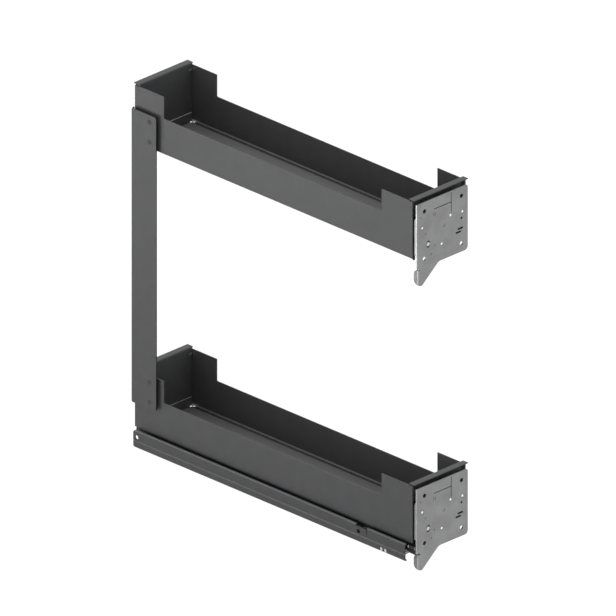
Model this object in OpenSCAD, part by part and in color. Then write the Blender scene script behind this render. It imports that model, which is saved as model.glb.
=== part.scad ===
// Pull-out spice rack for a narrow base cabinet: two folded steel trays on one
// rear bar, carried by a full-extension ball runner that is screwed to the
// cabinet's left side wall. A zinc-plated bracket on each tray's front end holds
// the cabinet's door, and lets it be set sideways and in height.
// X points away from the wall, Y to the rear and Z up. The origin is the middle
// of the two wall-screw holes, on the face that lies against the wall.
// Sizes are in millimetres.

/* [Trays] */
// Length of a tray over its side walls
tray_l = 480; // [460:1:500]
// Width of a tray over its side walls
tray_w = 92.7; // [88:0.1:100]
// Height of the low part of the side walls
wall_h = 47.9; // [40:0.1:55]
// Height of the posts at the four corners
post_h = 77.5; // [74:0.1:90]
// Length of the two rear posts
rear_post_l = 50; // [48:1:70]
// Length of the left front post
front_post_left_l = 53; // [35:1:70]
// Length of the right front post
front_post_right_l = 48; // [35:1:70]
// Height step from the lower tray to the upper tray
tray_pitch = 384; // [320:32:448]
// Thickness of the tray and panel sheet
sheet_t = 1.2; // [1:0.1:1.5]
// Outside radius of the bends in that sheet
bend_r = 1.6; // [1.5:0.1:2.5]
// Height of the floor's upturned end flanges
floor_flange_h = 14; // [10:1:18]
// Diameter of the relief hole in each corner of the floor
corner_relief_d = 6.4; // [5:0.2:6.6]
// Radius in the inner corners of the wall steps
step_r = 1.5; // [0.5:0.5:4]

/* [End panels and mats] */
// Depth of a panel's turned-out top lip, from the panel's inner face
lip_d = 9.5; // [9:0.1:9.6]
// Set-back of the rear panel's inner face from the rear end of the side walls
rear_inset = 8; // [7.8:0.1:12]
// Set-back of the front panel's inner face from the front end of the side walls
front_inset = 5.6; // [5.4:0.1:6]
// Gap between the posts' top and the lip
lip_gap = 2; // [0.3:0.1:2.5]
// Depth of the front panel's side flanges
front_flange_d = 5; // [4:0.5:5]
// Depth of the rear panel's side flanges
rear_flange_d = 7.8; // [5:0.1:7.8]
// Height of the top of the bends of those flanges
side_flange_top = 70; // [60:1:70]
// Diameter of the relief holes at a panel's top corners
panel_relief_d = 4; // [3:0.5:4]
// Thickness of the mat in each tray
mat_t = 1.5; // [1:0.1:3]
// Gap between the mat and the walls around it
mat_gap = 3; // [2:0.5:6]
// Corner radius of the mat
mat_r = 4; // [2:0.5:8]

/* [Rear bar] */
// Width of the bar
bar_w = 43.6; // [38:0.1:46]
// How far the bar's rear edge stands behind the trays
bar_overhang = 1.9; // [1.8:0.1:3]
// Thickness of the bar's sheet
bar_t = 1.5; // [1.2:0.1:2]
// Gap between the bar and the trays' left walls
bar_gap = 3.5; // [3:0.1:3.9]
// Height of the bar's lower end above the lower tray's underside
bar_bottom = 35.4; // [31:0.1:37]
// Depth of the stiffening flange along the bar's rear edge, between the trays
bar_flange_d = 14; // [8:1:20]
// Corner radius at the bar's ends
bar_r = 3; // [2:0.5:5]
// Distance of the outer rivets from the bar's ends
bar_rivet_end = 9; // [8:0.5:11]
// Distance between the two rivets at each end
bar_rivet_pitch = 27; // [22:1:28]
// Distance of the rivets from the trays' rear end
bar_rivet_inset = 30; // [24:1:33]
// Diameter of the rivets' shanks
bar_rivet_d = 4; // [3:0.5:5]
// Outside diameter of the spacer rings
spacer_d = 10; // [9:0.5:14]

/* [Runner] */
// How much shorter the wall rail is than the trays
rail_short = 10; // [8:1:25]
// Distance between the two wall-screw holes
wall_hole_pitch = 384; // [352:32:416]
// Diameter of the wall-screw holes
wall_hole_d = 5.6; // [4:0.1:7]
// Distance of the rear wall-screw hole from the rail's rear end
wall_hole_inset = 6; // [5.5:0.5:9]
// Height of the rail above the hole line
rail_above = 8.9; // [8:0.1:9]
// Height of the rail below the hole line
rail_below = 14.5; // [13.6:0.1:16]
// Thickness of the rail's sheet
rail_t = 1.5; // [1.2:0.1:1.8]
// Width of the folded hem along the rail's top
hem_w = 3; // [2.6:0.1:3.6]
// Height of that hem
hem_h = 2.6; // [2:0.1:3]
// Depth of the groove rolled along the rail's face
bead_d = 0.6; // [0.3:0.1:0.8]
// Length of the notch in the hem
notch_l = 18; // [8:1:30]
// Width of the two windows in the rail's lower bend
bend_slot_w = 4; // [3:0.5:5]
// How far the runner's members stand back from the rail's front end
member_setback = 14; // [12:1:20]
// Distance of the runner's middle plane from the wall
runner_x = 24; // [23.8:0.1:30]
// How much shorter the travel is than the wall rail
travel_short = 30; // [28:1:80]
// Thickness of the two outer runner members
member_t = 1.2; // [1:0.1:1.3]
// Thickness of the innermost member
drawer_t = 1.5; // [1.2:0.1:1.6]
// Half the width of the lowest member, to the middle of its sheet
channel_half = 15.2; // [14.8:0.1:15.4]
// Diameter of the balls
ball_d = 3.2; // [3:0.1:3.3]
// Clearance between a ball and its groove
ball_gap = 0.2; // [0.15:0.05:0.25]
// Depth of the ball grooves
groove_d = 0.8; // [0.7:0.1:0.9]
// Length of the two ball cages
cage_l = 190; // [120:5:200]
// Height of the lower ball row over the channel's floor
row_rise = 5.9; // [5.7:0.1:6.2]
// Height of the upper ball row over the lower one
row_step = 7; // [6.8:0.1:7.4]
// Thickness of the ball cages
cage_t = 0.8; // [0.6:0.1:0.9]
// Distance between the balls of a row
ball_pitch = 24; // [12:1:40]

/* [Front bracket] */
// Width of the bracket's front plate
plate_w = 88.2; // [84:0.1:89]
// How far the plate's middle lies to the right of the tray's middle
plate_shift = 0.9; // [0.5:0.1:1]
// Height of the front plate without its tongue
plate_h = 88; // [86:0.5:92]
// Thickness of the front plate
plate_t = 2; // [1.5:0.1:2.2]
// How far the plate's face stands in front of the tray's side walls
plate_stand = 5; // [4.8:0.1:5.6]
// Height of the plate's top edge above the tray's underside
plate_top = 73.8; // [71:0.1:74]
// Distance between the door-screw holes, both ways
door_hole_pitch = 64; // [62:0.5:66]
// Diameter of the door-screw holes
door_hole_d = 5.5; // [4:0.1:6.5]
// Distance of the left door-screw holes from the plate's left edge
door_hole_left = 13.2; // [11:0.1:14]
// Distance of the upper door-screw holes from the plate's top edge
door_hole_top = 12.6; // [11:0.1:13]
// Length of the tongue below the plate
tongue_l = 24; // [20:0.5:30]
// Depth of the thumb lobe at the tongue
lobe_d = 8.1; // [5:0.1:8.2]
// Thickness of the bracket's base sheet
base_t = 1.5; // [1.2:0.1:1.6]
// Side adjustment, each way from the middle
side_adjust = 1.5; // [0.5:0.1:1.6]
// Height adjustment, each way from the middle
height_adjust = 2; // [1:0.1:2.2]
// Radius of the height cam's disc
cam_r = 13.5; // [13.2:0.1:13.6]
// Thickness of the height cam's disc
cam_t = 1.9; // [1.5:0.1:1.9]
// Distance of the cam's follower pin from the cam's axis
cam_pin_r = 8; // [7.8:0.1:8.2]
// Diameter of the follower pin
cam_pin_d = 2.6; // [2:0.1:2.8]
// Diameter of the necks of the plate's guide studs
stud_d = 4; // [3.5:0.1:4.5]
// Clearance between sliding faces of the bracket
slide_gap = 0.3; // [0.2:0.05:0.3]

/* [Hidden] */
$fn = 48;
eps = 1;              // how far a cutter runs past the face that it cuts

// Places along the runner
rail_l = tray_l - rail_short;
travel = rail_l - travel_short;
wall_hole_y = wall_hole_pitch / 2;
rail_rear = wall_hole_y + wall_hole_inset;
rail_front = rail_rear - rail_l;
channel_front = rail_front + member_setback;
channel_rear = rail_rear - 4;
middle_front = channel_front;
middle_rear = channel_rear - 8;
drawer_front = channel_front;
drawer_rear = channel_rear - 4;
buffer_gap = 0.4;

// Places of the trays
tray_x = 6.5;
tray_rear = rail_rear + 3.5;
tray_front = tray_rear - tray_l;
lower_z = 9.3;
upper_z = lower_z + tray_pitch;
bend_mid = bend_r - sheet_t / 2;
panel_side_gap = 0.1;
lip_z = post_h + lip_gap + sheet_t / 2;
floor_end_rear = rear_inset + sheet_t;
floor_end_front = tray_l - front_inset - sheet_t;

// Levels and half widths of the runner's nested members
rail_mid = rail_t / 2;
groove_z = -4.8;
rail_floor = -rail_below + rail_t;
channel_floor = rail_floor + member_t;
row_z1 = channel_floor + row_rise;
row_z2 = row_z1 + row_step;
middle_floor = channel_floor + 1.5 + member_t / 2;
drawer_floor = row_z2 - 4;
member_r = 1;
outer_row = channel_half + groove_d - member_t / 2 - ball_gap - ball_d / 2;
middle_half = outer_row - ball_d / 2 - ball_gap + groove_d - member_t / 2;
inner_row = middle_half + groove_d - member_t / 2 - ball_gap - ball_d / 2;
drawer_half = inner_row - ball_d / 2 - ball_gap + groove_d - drawer_t / 2;
rail_floor_half = 17.4;    // of the rail's floor, from the runner's middle plane
flange_half = 16;          // of the flanges under the tray, over their lips
flange_lip_z = 4.5;
lug_ys = [rail_front + 33.8, rail_front + 40.8];
lug_top = -rail_below + 5.4;
lug_gap = 0.3;
outer_cage_y = (channel_front + middle_rear - travel / 2) / 2 + travel / 4;
inner_cage_y = (middle_front - travel / 2 + drawer_rear - travel) / 2 + travel * 3 / 4;
ball_count = 2 * floor((cage_l / 2 - ball_d) / ball_pitch) + 1;

// Rivets between the drawer member and the lower tray
runner_rivet_x = drawer_half + drawer_t / 2 + 2.65;
runner_rivet_d = 3.2;
rivet_gap = 0.1;           // how much wider a rivet's or screw's hole is
rivet_end_margin = 30;
runner_rivet_pitch = (drawer_rear - drawer_front - 2 * rivet_end_margin) / 3;
runner_rivet_ys = [for (k = [0:3]) drawer_front + rivet_end_margin + k * runner_rivet_pitch];

// Levels of the front bracket, front faces being the lower Y
plate_face_y = tray_front - plate_stand;
plate_back_y = plate_face_y + plate_t;
web_face_y = tray_front + front_inset - sheet_t;
cam_space = cam_t + 2 * slide_gap;
base_face_y = plate_back_y + cam_space;
base_back_y = base_face_y + base_t;
base_foot_y = web_face_y - 0.1;
plate_x = tray_x + (tray_w - plate_w) / 2 + plate_shift;
// The base's raised middle and its two ears, from the plate's left and top edges
base_x0 = 14.2;
base_x1 = 72.9;
base_z0 = -73.5;
base_z1 = -6.6;
ear_x0 = 1.8;
ear_x1 = base_x1 + 12;
ear_top = 20;
ear_bottom = 48;
leg_w = 2.8;
leg_drop = 4;
// The height cam
cam_spot = [19.6, 59];
cam_boss_d = 4.9;
boss_gap = 0.4;            // round the boss, in the plate's window
key_w = 4.6;
key_hole_d = 7;
// Clamp screws and their nuts
clamp_xs = [9.3, 78.8];
clamp_top = 43;
clamp_d = 3;
clamp_head_d = 5.6;
clamp_head_h = 2.2;
nut_w = 5.5;
nut_h = 2.4;
// Headed studs behind the base's raised middle, and plain pins in its ears
stud_spots = [[30.3, 22], [58.2, 32.4], [42.9, 66]];
pin_spots = [[9.3, 34], [78.8, 34]];
stud_head_d = 5.6;
stud_collar_d = 9;
pin_shoulder_d = 5.6;
staked_d = 3.4;            // shank of a stud in the plate, seen at its face
stake_ring = 0.8;          // width of the groove pressed round it
mark_depth = 0.5;
cam_lead = height_adjust / 90;      // rise of the follower pin for each degree
bar_x = tray_x - bar_gap - bar_t;
bar_rear = tray_rear + bar_overhang;
bar_low = lower_z + bar_bottom;
bar_high = upper_z + wall_h;
bar_rivet_zs = [
    bar_low + bar_rivet_end, bar_low + bar_rivet_end + bar_rivet_pitch,
    bar_high - bar_rivet_end - bar_rivet_pitch, bar_high - bar_rivet_end
];

// Front catch, between the runner's front end and the front plate
lobe_x = 2.6;
lobe_t = 2;
catch_left = plate_x + lobe_x + lobe_t + side_adjust + slide_gap;
catch_right = 2 * runner_x - catch_left;
catch_front = plate_back_y + 0.5;
catch_rear = channel_front - 0.6;
catch_low = -10.5;
lever_pin_y = catch_rear - 4.5;
lever_t = 1.2;
lever_l = 13;
lever_z = -1;
lever_h = 4;
lever_x = catch_left - 1;
lever_pin_d = 1.6;

// Colours
anthracite = [0.33, 0.34, 0.36];
zinc = [0.66, 0.67, 0.68];
black_plastic = [0.08, 0.08, 0.09];
black_steel = [0.12, 0.12, 0.13];
mat_grey = [0.27, 0.28, 0.29];
steel = [0.8, 0.8, 0.82];

// Outline helpers

function unit(v) = v / norm(v);

// Points of the arc that rounds corner b between a and c
function rounded_corner(a, b, c, r, n) =
    r <= 0 ? [b] :
    let (
        u = unit(a - b),
        v = unit(c - b),
        half = acos(max(-1, min(1, u * v))) / 2,
        centre = b + unit(u + v) * r / sin(half),
        start = b + u * r / tan(half) - centre,
        stop = b + v * r / tan(half) - centre,
        a0 = atan2(start[1], start[0]),
        raw = atan2(stop[1], stop[0]) - a0,
        turn = raw > 180 ? raw - 360 : raw < -180 ? raw + 360 : raw
    )
    [for (i = [0:n]) centre + r * [cos(a0 + turn * i / n), sin(a0 + turn * i / n)]];

function flat_point(p) = [p[0], p[1]];

// Closed outline from corners [x, y, radius]
function outline(corners, n = 6) =
    let (m = len(corners))
    [for (i = [0:m - 1]) each rounded_corner(
        flat_point(corners[(i + m - 1) % m]), flat_point(corners[i]),
        flat_point(corners[(i + 1) % m]), corners[i][2], n)];

// Open path with every inner corner rounded
function rounded_path(pts, r, n = 4) =
    let (m = len(pts))
    [pts[0], for (i = [1:m - 2]) each rounded_corner(pts[i - 1], pts[i], pts[i + 1], r, n), pts[m - 1]];

// The same path, moved sideways by d
function beside(p, d) =
    let (m = len(p))
    [for (i = [0:m - 1])
        let (
            before = i > 0 ? unit(p[i] - p[i - 1]) : unit(p[1] - p[0]),
            after = i < m - 1 ? unit(p[i + 1] - p[i]) : before,
            n1 = [-before[1], before[0]],
            n2 = [-after[1], after[0]],
            mid = unit(n1 + n2)
        )
        p[i] + mid * d / (mid * n1)];

function backwards(p) = [for (i = [len(p) - 1:-1:0]) p[i]];

function mirrored_path(p) = concat(p, [for (q = backwards(p)) [-q[0], q[1]]]);

// Section of a folded sheet of thickness t along the middle path pts
module sheet_section(pts, t, r) {
    path = rounded_path(pts, r);
    polygon(concat(beside(path, t / 2), backwards(beside(path, -t / 2))));
}

// A drawing in X and Z, extruded from y_rear to y_front
module along_y(y_rear, y_front) {
    translate([0, y_rear, 0]) rotate([90, 0, 0]) linear_extrude(y_rear - y_front) children();
}

// A drawing in Y and Z, extruded from x0 to x1
module along_x(x0, x1) {
    translate([x0, 0, 0]) rotate([90, 0, 90]) linear_extrude(x1 - x0) children();
}

// A drawing in X and Y, extruded from z0 to z1
module along_z(z0, z1) {
    translate([0, 0, z0]) linear_extrude(z1 - z0) children();
}

module box(low, high) {
    translate(low) cube(high - low);
}

// A round bar along X or along Y
module rod_x(x0, x1, y, z, d) {
    translate([x0, y, z]) rotate([0, 90, 0]) cylinder(d = d, h = x1 - x0);
}

module rod_y(y_rear, y_front, x, z, d) {
    translate([x, y_rear, z]) rotate([90, 0, 0]) cylinder(d = d, h = y_rear - y_front);
}

module rod_z(z0, z1, x, y, d) {
    translate([x, y, z0]) cylinder(d = d, h = z1 - z0);
}

// A slot with round ends in X and Z, w by h
module slot_shape(x, z, w, h) {
    r = min(w, h) / 2 - 0.05;
    polygon(outline([
        [x - w / 2, z - h / 2, r], [x + w / 2, z - h / 2, r],
        [x + w / 2, z + h / 2, r], [x - w / 2, z + h / 2, r]
    ]));
}

// Runner, fixed to the cabinet

// Face of the wall rail with its groove, then the floor under the members
function rail_path() = concat(
    [[rail_mid, rail_above]],
    [[rail_mid, groove_z + 1], [rail_mid + bead_d, groove_z], [rail_mid, groove_z - 2]],
    [[rail_mid, -rail_below + rail_mid], [runner_x + rail_floor_half, -rail_below + rail_mid]]
);

module rail_end_rounding(z_corner, up) {
    // material outside a 4 mm radius at a rear corner of the rail
    r = 4;
    cy = rail_rear - r;
    cz = z_corner - up * r;
    along_x(-eps, hem_w + eps) difference() {
        polygon([[cy, cz], [cy + r + eps, cz],
                 [cy + r + eps, cz + up * (r + eps)], [cy, cz + up * (r + eps)]]);
        translate([cy, cz]) circle(r = r);
    }
}

module wall_rail() {
    color(anthracite) difference() {
        union() {
            along_y(rail_rear, rail_front) sheet_section(rail_path(), rail_t, member_r);
            along_y(rail_rear, rail_front) polygon(outline([
                [0.2, rail_above - hem_h, 0], [hem_w, rail_above - hem_h, 0.4],
                [hem_w, rail_above, 0.6], [0, rail_above, 0.6], [0, rail_above - hem_h + 0.5, 0]
            ]));
        }
        // floor and lower bend stand back at the front end
        box([hem_w + 0.5, rail_front - eps, -rail_below - eps],
            [runner_x + rail_floor_half + eps, channel_front, 0]);
        rail_end_rounding(rail_above, 1);
        rail_end_rounding(-rail_below, -1);
        // notch in the hem over the front screw
        box([-eps, -wall_hole_y - notch_l * 0.75, rail_above - 2.4],
            [hem_w + eps, -wall_hole_y + notch_l * 0.25, rail_above + eps]);
        box([-eps, -wall_hole_y - notch_l * 0.75 - 1, rail_above - 9],
            [hem_w + eps, -wall_hole_y - notch_l * 0.75, rail_above + eps]);
        for (y = [-wall_hole_y, wall_hole_y]) rod_x(-eps, hem_w + eps, y, 0, wall_hole_d);
        // windows in the lower bend, for the channel's lugs
        for (y = lug_ys)
            box([-eps, y - bend_slot_w / 2, -rail_below - eps],
                [hem_w, y + bend_slot_w / 2, lug_top + lug_gap]);
    }
}

// Left half of a member's wall: a groove at level z, bulging by d
function grooved(x, z, d) = [[x, z + 2.1], [x - d, z + 1], [x - d, z - 1], [x, z - 2.1]];

module lower_channel() {
    half = channel_half;
    path = mirrored_path(concat(
        [[-half, row_z1 + 3.2]], grooved(-half, row_z1, groove_d), [[-half, channel_floor - member_t / 2]]
    ));
    lug_w = bend_slot_w - 2 * lug_gap;
    color(zinc) {
        translate([runner_x, 0, 0])
            along_y(channel_rear, channel_front) sheet_section(path, member_t, member_r);
        // lugs that stand out through the windows of the rail's bend
        for (y = lug_ys) {
            box([lug_gap, y - lug_w / 2, channel_floor - member_t],
                [runner_x - half + member_r, y + lug_w / 2, channel_floor]);
            box([lug_gap, y - lug_w / 2, -rail_below + lug_gap],
                [lug_gap + member_t, y + lug_w / 2, lug_top]);
        }
    }
}

module rear_buffer() {
    color(black_plastic) along_y(channel_rear, drawer_rear + buffer_gap) polygon(outline([
        [runner_x - 6, channel_floor, 0], [runner_x + 6, channel_floor, 0],
        [runner_x + 5, row_z2 + 2, 1.5], [runner_x - 5, row_z2 + 2, 1.5]
    ]));
}

module middle_member() {
    half = middle_half;
    path = mirrored_path(concat(
        [[-half, row_z2 + 3]], grooved(-half, row_z2, groove_d),
        grooved(-half, row_z1, -groove_d), [[-half, middle_floor]]
    ));
    color(zinc) translate([runner_x, 0, 0])
        along_y(middle_rear, middle_front) sheet_section(path, member_t, member_r);
}

// A ball cage: a folded strip with a row of holes in each side
module ball_cage(row, z_top, z_floor, z_balls, y_mid) {
    path = mirrored_path([[-row, z_top], [-row, z_floor]]);
    color(black_plastic) difference() {
        translate([runner_x, 0, 0]) along_y(y_mid + cage_l / 2, y_mid - cage_l / 2)
            sheet_section(path, cage_t, 1);
        for (k = [0:ball_count - 1])
            rod_x(runner_x - row - 2, runner_x + row + 2,
                  y_mid + (k - (ball_count - 1) / 2) * ball_pitch, z_balls, ball_d + 0.1);
    }
}

module ball_rows(row, z_balls, y_mid) {
    color(steel) for (side = [-1, 1], k = [0:ball_count - 1])
        translate([runner_x + side * row, y_mid + (k - (ball_count - 1) / 2) * ball_pitch, z_balls])
            sphere(d = ball_d);
}

module outer_ball_cage() {
    z_floor = (channel_floor + middle_floor - member_t / 2) / 2;
    ball_cage(outer_row, row_z1 + 2.4, z_floor, row_z1, outer_cage_y);
}

module outer_balls() {
    ball_rows(outer_row, row_z1, outer_cage_y);
}

module inner_ball_cage() {
    ball_cage(inner_row, row_z2 + 2.2, drawer_floor - drawer_t / 2 - 0.85, row_z2, inner_cage_y);
}

module inner_balls() {
    ball_rows(inner_row, row_z2, inner_cage_y);
}

// Carriage: drawer member, catch, trays and bar

module drawer_member() {
    half = drawer_half;
    top = lower_z - drawer_t / 2;
    edge = flange_half - drawer_t / 2;
    legs = mirrored_path(concat(
        [[-half - 4, top], [-half, top]], grooved(-half, row_z2, -groove_d), [[-half, drawer_floor]]
    ));
    flange = [[-edge, flange_lip_z], [-edge, top], [-half - 2, top]];
    color(anthracite) difference() {
        translate([runner_x, 0, 0]) {
            along_y(drawer_rear, drawer_front) sheet_section(legs, drawer_t, member_r);
            // flanges under the tray, with their lips turned down beside the rail
            for (side = [0, 1]) mirror([side, 0, 0])
                along_y(tray_rear - 1, base_foot_y + 0.7) sheet_section(flange, drawer_t, member_r);
        }
        for (side = [-1, 1], y = runner_rivet_ys)
            rod_z(lower_z - drawer_t - eps, lower_z + eps, runner_x + side * runner_rivet_x, y,
                  runner_rivet_d + rivet_gap);
    }
}

module runner_rivets() {
    head_z = lower_z - drawer_t - 1.2;
    color(steel) for (side = [-1, 1], y = runner_rivet_ys) {
        rod_z(head_z, lower_z - drawer_t, runner_x + side * runner_rivet_x, y, runner_rivet_d + 1.4);
        rod_z(head_z, lower_z + sheet_t, runner_x + side * runner_rivet_x, y, runner_rivet_d);
    }
}

// Black catch block under the tray, in front of the members
module front_catch() {
    x0 = catch_left;
    x1 = catch_right;
    ear_x = lever_x - lever_pin_d / 2 - 0.6;
    color(black_plastic) difference() {
        union() {
            along_x(x0, x1) polygon(outline([
                [catch_rear, lower_z, 0], [catch_rear, catch_low + 2, 2],
                [catch_rear - 8, catch_low, 3], [catch_front, catch_low, 1.5], [catch_front, lower_z, 0]
            ]));
            for (z = [lever_z - lever_h / 2 - 2.2, lever_z + lever_h / 2 + 0.2])
                along_z(z, z + 2) polygon(outline([
                    [x0 + 1, lever_pin_y - 2.4, 0], [x0 + 1, lever_pin_y + 2.4, 0],
                    [ear_x, lever_pin_y + 2.4, 1.2], [ear_x, lever_pin_y - 2.4, 1.2]
                ]));
        }
        // pocket that the lever swings into
        box([x0 - eps, lever_pin_y - lever_l - 1, lever_z - lever_h / 2 - 0.6],
            [x0 + 1.9, lever_pin_y - 2.4, lever_z + lever_h / 2 + 0.6]);
        box([x0 - eps, lever_pin_y - 2.4, lever_z - lever_h / 2 - 0.2],
            [x0 + 1.2, lever_pin_y + 2.4, lever_z + lever_h / 2 + 0.2]);
        rod_z(lever_z - 6, lever_z + 6, lever_x, lever_pin_y, lever_pin_d);
        // hollow underside
        box([x0 + 3.5, catch_front + 3, catch_low - eps], [x1 - 2, catch_rear - 3, lower_z - 6]);
    }
}

module catch_pin() {
    color(steel)
        rod_z(lever_z - lever_h / 2 - 2.2, lever_z + lever_h / 2 + 2.2, lever_x, lever_pin_y, lever_pin_d);
}

module catch_lever() {
    z0 = lever_z - lever_h / 2;
    color(steel) difference() {
        union() {
            rod_z(z0, z0 + lever_h, lever_x, lever_pin_y, 3);
            along_z(z0, z0 + lever_h) polygon(outline([
                [lever_x - lever_t / 2, lever_pin_y, 0],
                [lever_x - lever_t / 2, lever_pin_y - lever_l + 2, 0.5],
                [lever_x - lever_t / 2 - 0.8, lever_pin_y - lever_l, 0.3],
                [lever_x + lever_t / 2 - 0.8, lever_pin_y - lever_l, 0.3],
                [lever_x + lever_t / 2, lever_pin_y - lever_l + 2, 0.5],
                [lever_x + lever_t / 2, lever_pin_y, 0]
            ]));
        }
        rod_z(z0 - eps, z0 + lever_h + eps, lever_x, lever_pin_y, lever_pin_d + 0.12);
    }
}

// One tray from a single folded sheet: X from its left wall, Y = 0 at its rear
// end, Z = 0 at its underside
module tray_shell(rivet_holes) {
    t = sheet_t;
    w = tray_w;
    color(anthracite) difference() {
        union() {
            difference() {
                along_y(0, -tray_l) sheet_section(
                    [[t / 2, post_h], [t / 2, t / 2], [w - t / 2, t / 2], [w - t / 2, post_h]], t, bend_mid);
                // no floor beyond the end flanges
                box([t, -floor_end_rear - bend_mid + t / 2, -eps], [w - t, eps, bend_r + eps]);
                box([t, -tray_l - eps, -eps], [w - t, -floor_end_front + bend_mid - t / 2, bend_r + eps]);
            }
            // upturned end flanges
            along_x(bend_r + 2, w - bend_r - 2) sheet_section(
                [[-floor_end_rear - 8, t / 2], [-floor_end_rear + t / 2, t / 2],
                 [-floor_end_rear + t / 2, floor_flange_h]], t, bend_mid);
            along_x(bend_r + 2, w - bend_r - 2) sheet_section(
                [[-floor_end_front + 8, t / 2], [-floor_end_front - t / 2, t / 2],
                 [-floor_end_front - t / 2, floor_flange_h]], t, bend_mid);
        }
        // low walls between the posts
        low_wall_cut(-eps, t + eps, front_post_left_l);
        low_wall_cut(w - t - eps, w + eps, front_post_right_l);
        // relief holes in the floor's corners
        for (x = [t + 2.2, w - t - 2.2], y = [-floor_end_rear - 1.4, -floor_end_front + 1.4])
            rod_z(-eps, t + eps, x, y, corner_relief_d);
        // hole in the front end flange for the cam's key
        rod_y(-floor_end_front + eps, -floor_end_front - t - eps, plate_x - tray_x + cam_spot[0],
              plate_top - cam_spot[1], key_hole_d);
        if (rivet_holes == "runner")
            for (side = [-1, 1], y = runner_rivet_ys)
                rod_z(-eps, t + eps, runner_x + side * runner_rivet_x - tray_x, y - tray_rear,
                      runner_rivet_d + rivet_gap);
        tray_z = rivet_holes == "runner" ? lower_z : upper_z;
        for (z = bar_rivet_zs)
            if (z > tray_z && z < tray_z + post_h)
                rod_x(-eps, t + eps, -bar_rivet_inset, z - tray_z, bar_rivet_d + rivet_gap);
    }
}

module low_wall_cut(x0, x1, front_post_l) {
    along_x(x0, x1) polygon(outline([
        [-rear_post_l, post_h + eps, 0], [-rear_post_l, wall_h, step_r],
        [-tray_l + front_post_l, wall_h, step_r], [-tray_l + front_post_l, post_h + eps, 0]
    ]));
}

// One end panel: Y = 0 at its inner face, its lip and flanges turned to +Y
module end_panel(clamped, flange_d) {
    t = sheet_t;
    w = tray_w;
    edge = t + panel_side_gap;
    foot = t + 0.3;
    color(anthracite) difference() {
        union() {
            difference() {
                along_x(0, w) sheet_section([[t / 2, foot], [t / 2, lip_z], [lip_d, lip_z]], t, bend_mid);
                for (x = [-eps, w - edge - bend_r])
                    box([x, -eps, 0], [x + edge + bend_r + eps, lip_d + eps, side_flange_top]);
                for (x = [-eps, w - edge - 0.2])
                    box([x, -eps, side_flange_top - eps],
                        [x + edge + 0.2 + eps, bend_r, post_h + lip_gap - 0.1]);
            }
            along_z(foot, side_flange_top) {
                sheet_section([[edge + bend_r + 3, t / 2], [edge + t / 2, t / 2],
                               [edge + t / 2, flange_d]], t, bend_mid);
                sheet_section([[w - edge - bend_r - 3, t / 2], [w - edge - t / 2, t / 2],
                               [w - edge - t / 2, flange_d]], t, bend_mid);
            }
            // flange ends that close the corners below the lip
            for (x = [edge, w - edge - t])
                box([x, bend_r + 0.7, side_flange_top - eps], [x + t, flange_d, post_h + lip_gap - 0.4]);
        }
        for (x = [edge + bend_r + 1.2, w - edge - bend_r - 1.2])
            rod_y(t + eps, -eps, x, side_flange_top + panel_relief_d / 2, panel_relief_d);
        if (clamped) {
            for (x = clamp_xs)
                rod_y(t + eps, -eps, plate_x - tray_x + x, plate_top - clamp_top, clamp_d + rivet_gap);
            rod_y(t + eps, -eps, plate_x - tray_x + cam_spot[0], plate_top - cam_spot[1], key_hole_d);
        }
    }
}

module tray_mat() {
    x0 = sheet_t + mat_gap;
    y0 = -floor_end_rear - mat_gap + 1;
    y1 = -floor_end_front + mat_gap - 1;
    color(mat_grey) along_z(sheet_t, sheet_t + mat_t) polygon(outline([
        [x0, y0, mat_r], [tray_w - x0, y0, mat_r], [tray_w - x0, y1, mat_r], [x0, y1, mat_r]
    ]));
}

module in_tray(z) {
    translate([tray_x, tray_rear, z]) children();
}

module rear_panel_at(z) {
    in_tray(z) translate([0, -rear_inset, 0]) end_panel(false, rear_flange_d);
}

module front_panel_at(z) {
    in_tray(z) translate([0, -tray_l + front_inset, 0]) mirror([0, 1, 0]) end_panel(true, front_flange_d);
}

module lower_tray() { in_tray(lower_z) tray_shell("runner"); }
module lower_rear_panel() { rear_panel_at(lower_z); }
module lower_front_panel() { front_panel_at(lower_z); }
module lower_mat() { in_tray(lower_z) tray_mat(); }
module upper_tray() { in_tray(upper_z) tray_shell("bar"); }
module upper_rear_panel() { rear_panel_at(upper_z); }
module upper_front_panel() { front_panel_at(upper_z); }
module upper_mat() { in_tray(upper_z) tray_mat(); }

// Rounding of one corner of the bar, seen from the side
module bar_corner(y, z, out_y, out_z) {
    along_x(bar_x - eps, bar_x + bar_t + eps) translate([y - out_y * bar_r, z - out_z * bar_r])
        difference() {
            polygon([[0, 0], [out_y * (bar_r + eps), 0],
                     [out_y * (bar_r + eps), out_z * (bar_r + eps)], [0, out_z * (bar_r + eps)]]);
            circle(r = bar_r);
        }
}

// Bar section in X and Y: face along the trays, flange along the rear edge
module bar_section(flange_end) {
    sheet_section([[bar_x + bar_t / 2, bar_rear - bar_w], [bar_x + bar_t / 2, bar_rear - bar_t / 2],
                   [flange_end, bar_rear - bar_t / 2]], bar_t, 1.2);
}

module rear_bar() {
    between_low = lower_z + post_h + 6;
    between_high = upper_z - 6;
    color(anthracite) difference() {
        union() {
            along_z(bar_low, bar_high) bar_section(tray_x - slide_gap);
            along_z(between_low, between_high) bar_section(bar_x + bar_flange_d);
        }
        bar_corner(bar_rear, bar_high, 1, 1);
        bar_corner(bar_rear, bar_low, 1, -1);
        bar_corner(bar_rear - bar_w, bar_high, -1, 1);
        bar_corner(bar_rear - bar_w, bar_low, -1, -1);
        for (z = bar_rivet_zs) {
            rod_x(bar_x - eps, tray_x + eps, tray_rear - bar_rivet_inset, z, bar_rivet_d + rivet_gap);
            rod_x(bar_x - eps, bar_x + 0.7, tray_rear - bar_rivet_inset, z, bar_rivet_d + 2.6);
        }
    }
}

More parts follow.
